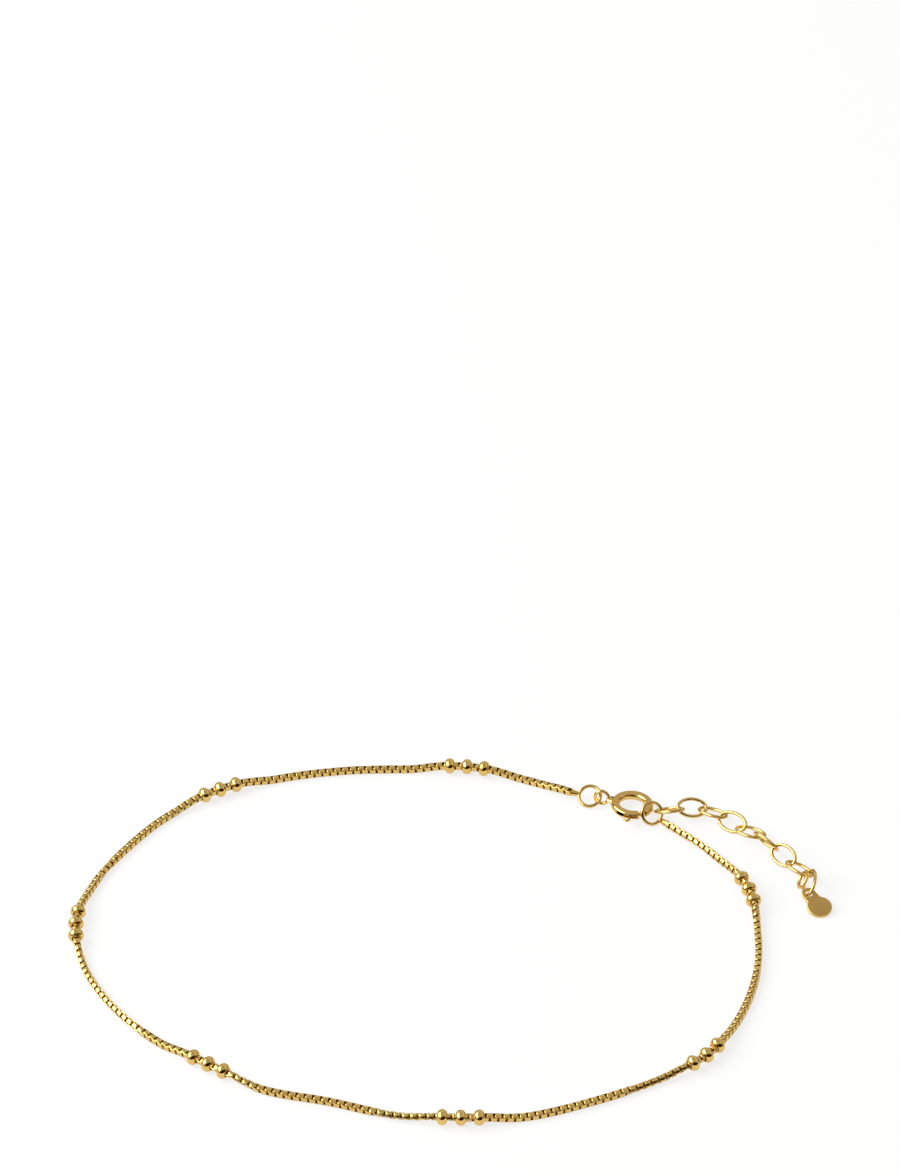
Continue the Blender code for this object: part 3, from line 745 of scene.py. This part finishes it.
def ovalWire(length, width, wire):
    long, short = (length - wire) / 2 * mm, (width - wire) / 2 * mm
    turns = [2 * math.pi * step / extension["steps"] for step in range(extension["steps"])]
    points = [Vector((long * math.cos(a), short * math.sin(a), 0)) for a in turns]
    return meshFrom(wireAlong(points, wire / 2 * mm, True, 6), "oval")


def makeExtension():
    shape = ovalWire(extension["length"], extension["width"], extension["wire"])
    for i in range(extension["count"]):
        node = "extension_link_%d" % (i + 1)
        centre, turn = nodeFrame(node)
        mesh = shape.copy()
        mesh.transform(placed(centre, turn))
        addPiece("ovalLink%d" % (i + 1), mesh, polishedGold, "anklet", [node])
    centre, turn = nodeFrame("extension_small_ring")
    mesh = ovalWire(extension["smallLength"], extension["smallWidth"], extension["wire"])
    mesh.transform(placed(centre, turn))
    addPiece("smallRing", mesh, polishedGold, "anklet", ["extension_small_ring"])
    print("anklet: extension,", extension["count"], "links")


makeExtension()


def arc(middle, radius, start, end, steps):
    # points along a circle in the tag's plane, from one angle to another in degrees
    turns = [math.radians(start + (end - start) * i / steps) for i in range(steps + 1)]
    return [((middle + radius * math.cos(a)) * mm, radius * math.sin(a) * mm) for a in turns]


def makeTag():
    # a round plate with a drilled lug, its edges polished and its faces satin; the hole is at the origin
    thick = tag["thickness"] * mm
    discEnd = 180 - tag["discOpening"]
    disc = arc(tag["holeToCentre"], tag["diameter"] / 2, -discEnd, discEnd, 96)
    lug = arc(0, tag["lugDiameter"] / 2, 180 - tag["lugSpread"], 180 + tag["lugSpread"], 60)
    bm = bmesh.new()
    plate = bm.faces.new([bm.verts.new((x, y, -thick / 2)) for x, y in disc + lug])
    raised = bmesh.ops.extrude_face_region(bm, geom=[plate])["geom"]
    top = [v for v in raised if isinstance(v, bmesh.types.BMVert)]
    bmesh.ops.translate(bm, verts=top, vec=(0, 0, thick))
    reach = Vector((0, 0, thick))
    hole = tag["holeDiameter"] / 2 * mm
    drill = meshFrom(taperedBar(-reach, reach, hole, hole, 64), "drill")
    drilled = combine(meshFrom(bm, "plate"), drill, "DIFFERENCE")
    bm = bmesh.new()
    bm.from_mesh(drilled)
    rims = [e for e in bm.edges if e.calc_face_angle(0) > 1.2]
    bmesh.ops.bevel(bm, geom=rims, offset=tag["edge"] * mm, offset_type="OFFSET", segments=4, profile=0.5,
                    affect="EDGES", material=-1)
    mesh = meshFrom(bm, "tag", 30)
    turn = turnOf(*tag["turn"])
    middle = nodeFrame("tag", turn)[0]
    alongMiddle = (tag["holeToCentre"] + tag["diameter"] / 2 - tag["lugDiameter"] / 2) / 2 * mm
    mesh.materials.append(satinGold)
    mesh.materials.append(polishedGold)
    for face in mesh.polygons:
        face.material_index = 0 if abs(face.normal.z) > 0.97 else 1
    mesh.transform(placed(middle - turn @ Vector((alongMiddle, 0, 0)), turn))
    addPiece("roundTag", mesh, satinGold, "anklet", ["tag"])
    print("anklet: round tag")


makeTag()


# floor, light and camera

stage = {
    "cameraAway": 740.0,       # mm from the point it looks at
    "lookAt": (0.0, 68.5),     # mm, in the route's own frame
    "focal": 5694.0,           # pixels
    "pictureHeight": 1176,     # pixels
    "sensor": 36,              # mm
    "floorRadius": 900,        # mm
    "floorGap": 0.02,          # mm under the anklet
    "floorColour": "#7C7C7A",
    "floorRoughness": 0.9,
    "floorGlow": 0.76,
    "glowColour": "#FFFFFF",
    "softboxAt": (-620, 0, 500),   # mm
    "softboxSize": (850, 550),     # mm
    "softboxPower": 7.5,           # W
    # height on a ball round the anklet from table (0) to overhead (1), then how bright the studio is there
    "levels": ((0, 0.08), (0.20, 0.18), (0.34, 0.78), (0.52, 0.85), (0.80, 0.60), (1.0, 0.50)),
    # the dim patch: its middle and the inverse of its half sizes on that ball, and where its edge fades
    "dimMiddle": (0.20, 0.0, 0.33),
    "dimSize": (1.39, 0.0, 2.38),
    "dimFade": (0.85, 1.1),
    "dimFront": (0.0, -0.3),
    "dimColour": "#2E1E04",
}


def makeStage():
    bm = bmesh.new()
    bmesh.ops.create_circle(bm, cap_ends=True, segments=64, radius=stage["floorRadius"] * mm)
    floorMesh = bpy.data.meshes.new("floor")
    bm.to_mesh(floorMesh)
    bm.free()
    floor = bpy.data.objects.new("floor", floorMesh)
    bpy.context.scene.collection.objects.link(floor)
    floor.location = (0, 0, -stage["floorGap"] * mm)
    # a white sheet with even light from below, which leaves next to no shadow on it
    acrylic = bpy.data.materials.new("white acrylic lit from beneath")
    acrylic.use_nodes = True
    shader = acrylic.node_tree.nodes["Principled BSDF"]
    shader.inputs["Base Color"].default_value = linear(stage["floorColour"])
    shader.inputs["Roughness"].default_value = stage["floorRoughness"]
    shader.inputs["Emission Color"].default_value = linear(stage["glowColour"])
    shader.inputs["Emission Strength"].default_value = stage["floorGlow"]
    floorMesh.materials.append(acrylic)

    # a pale studio, brightest half way up its walls and dark at their foot
    world = bpy.data.worlds.new("studio")
    bpy.context.scene.world = world
    world.use_nodes = True
    tree = world.node_tree
    way = addNode(tree, "ShaderNodeTexCoord").outputs["Generated"]
    parts = addNode(tree, "ShaderNodeSeparateXYZ", {"Vector": way}).outputs
    levels = addNode(tree, "ShaderNodeValToRGB", {"Fac": parts["Z"]})
    ramp = levels.color_ramp
    for element in list(ramp.elements)[1:]:
        ramp.elements.remove(element)
    for place, grey in stage["levels"]:
        element = ramp.elements[0] if place == 0 else ramp.elements.new(place)
        element.position = place
        element.color = (grey, grey, grey, 1)
    # the unlit end of the room, an oval patch in front, where the viewer stands
    fromMiddle = addNode(tree, "ShaderNodeVectorMath", {0: way, 1: stage["dimMiddle"]}, operation="SUBTRACT")
    inOval = addNode(tree, "ShaderNodeVectorMath", {0: fromMiddle.outputs["Vector"], 1: stage["dimSize"]},
                     operation="MULTIPLY")
    far = addNode(tree, "ShaderNodeVectorMath", {0: inOval.outputs["Vector"]}, operation="LENGTH")
    oval = addNode(tree, "ShaderNodeMapRange",
                   {"Value": far.outputs["Value"], "From Min": stage["dimFade"][0],
                    "From Max": stage["dimFade"][1], "To Min": 1.0, "To Max": 0.0},
                   interpolation_type="SMOOTHSTEP")
    ahead = addNode(tree, "ShaderNodeMapRange",
                    {"Value": parts["Y"], "From Min": stage["dimFront"][0], "From Max": stage["dimFront"][1],
                     "To Min": 0.0, "To Max": 1.0})
    dim = addNode(tree, "ShaderNodeMath", {0: oval.outputs["Result"], 1: ahead.outputs["Result"]},
                  operation="MULTIPLY")
    mix = addNode(tree, "ShaderNodeMix", {"Factor": dim.outputs["Value"]}, data_type="RGBA")
    tree.links.new(levels.outputs["Color"], mix.inputs[6])
    mix.inputs[7].default_value = linear(stage["dimColour"])
    tree.links.new(mix.outputs[2], tree.nodes["Background"].inputs["Color"])

    # one wide softbox on the left
    lamp = bpy.data.lights.new("leftSoftbox", "AREA")
    lamp.shape = "RECTANGLE"
    lamp.size, lamp.size_y = (side * mm for side in stage["softboxSize"])
    lamp.energy = stage["softboxPower"]
    holder = bpy.data.objects.new("leftSoftbox", lamp)
    holder.location = Vector(stage["softboxAt"]) * mm
    holder.rotation_euler = (-holder.location).to_track_quat("-Z", "Y").to_euler()
    bpy.context.scene.collection.objects.link(holder)

    cam = bpy.data.cameras.new("camera")
    cam.lens = stage["focal"] * stage["sensor"] / stage["pictureHeight"]
    cam.sensor_width = stage["sensor"]
    camera = bpy.data.objects.new("camera", cam)
    bpy.context.scene.collection.objects.link(camera)
    aim = toPart @ (Vector((*stage["lookAt"], 0)) * mm)
    height = math.radians(photoHeight)
    back = Vector((0, -math.cos(height), math.sin(height)))
    camera.location = aim + back * stage["cameraAway"] * mm
    camera.rotation_euler = (-back).to_track_quat("-Z", "Y").to_euler()
    bpy.context.scene.camera = camera
    bpy.context.scene.view_settings.view_transform = "Standard"
    print("anklet: stage set")


makeStage()

print("anklet: done")
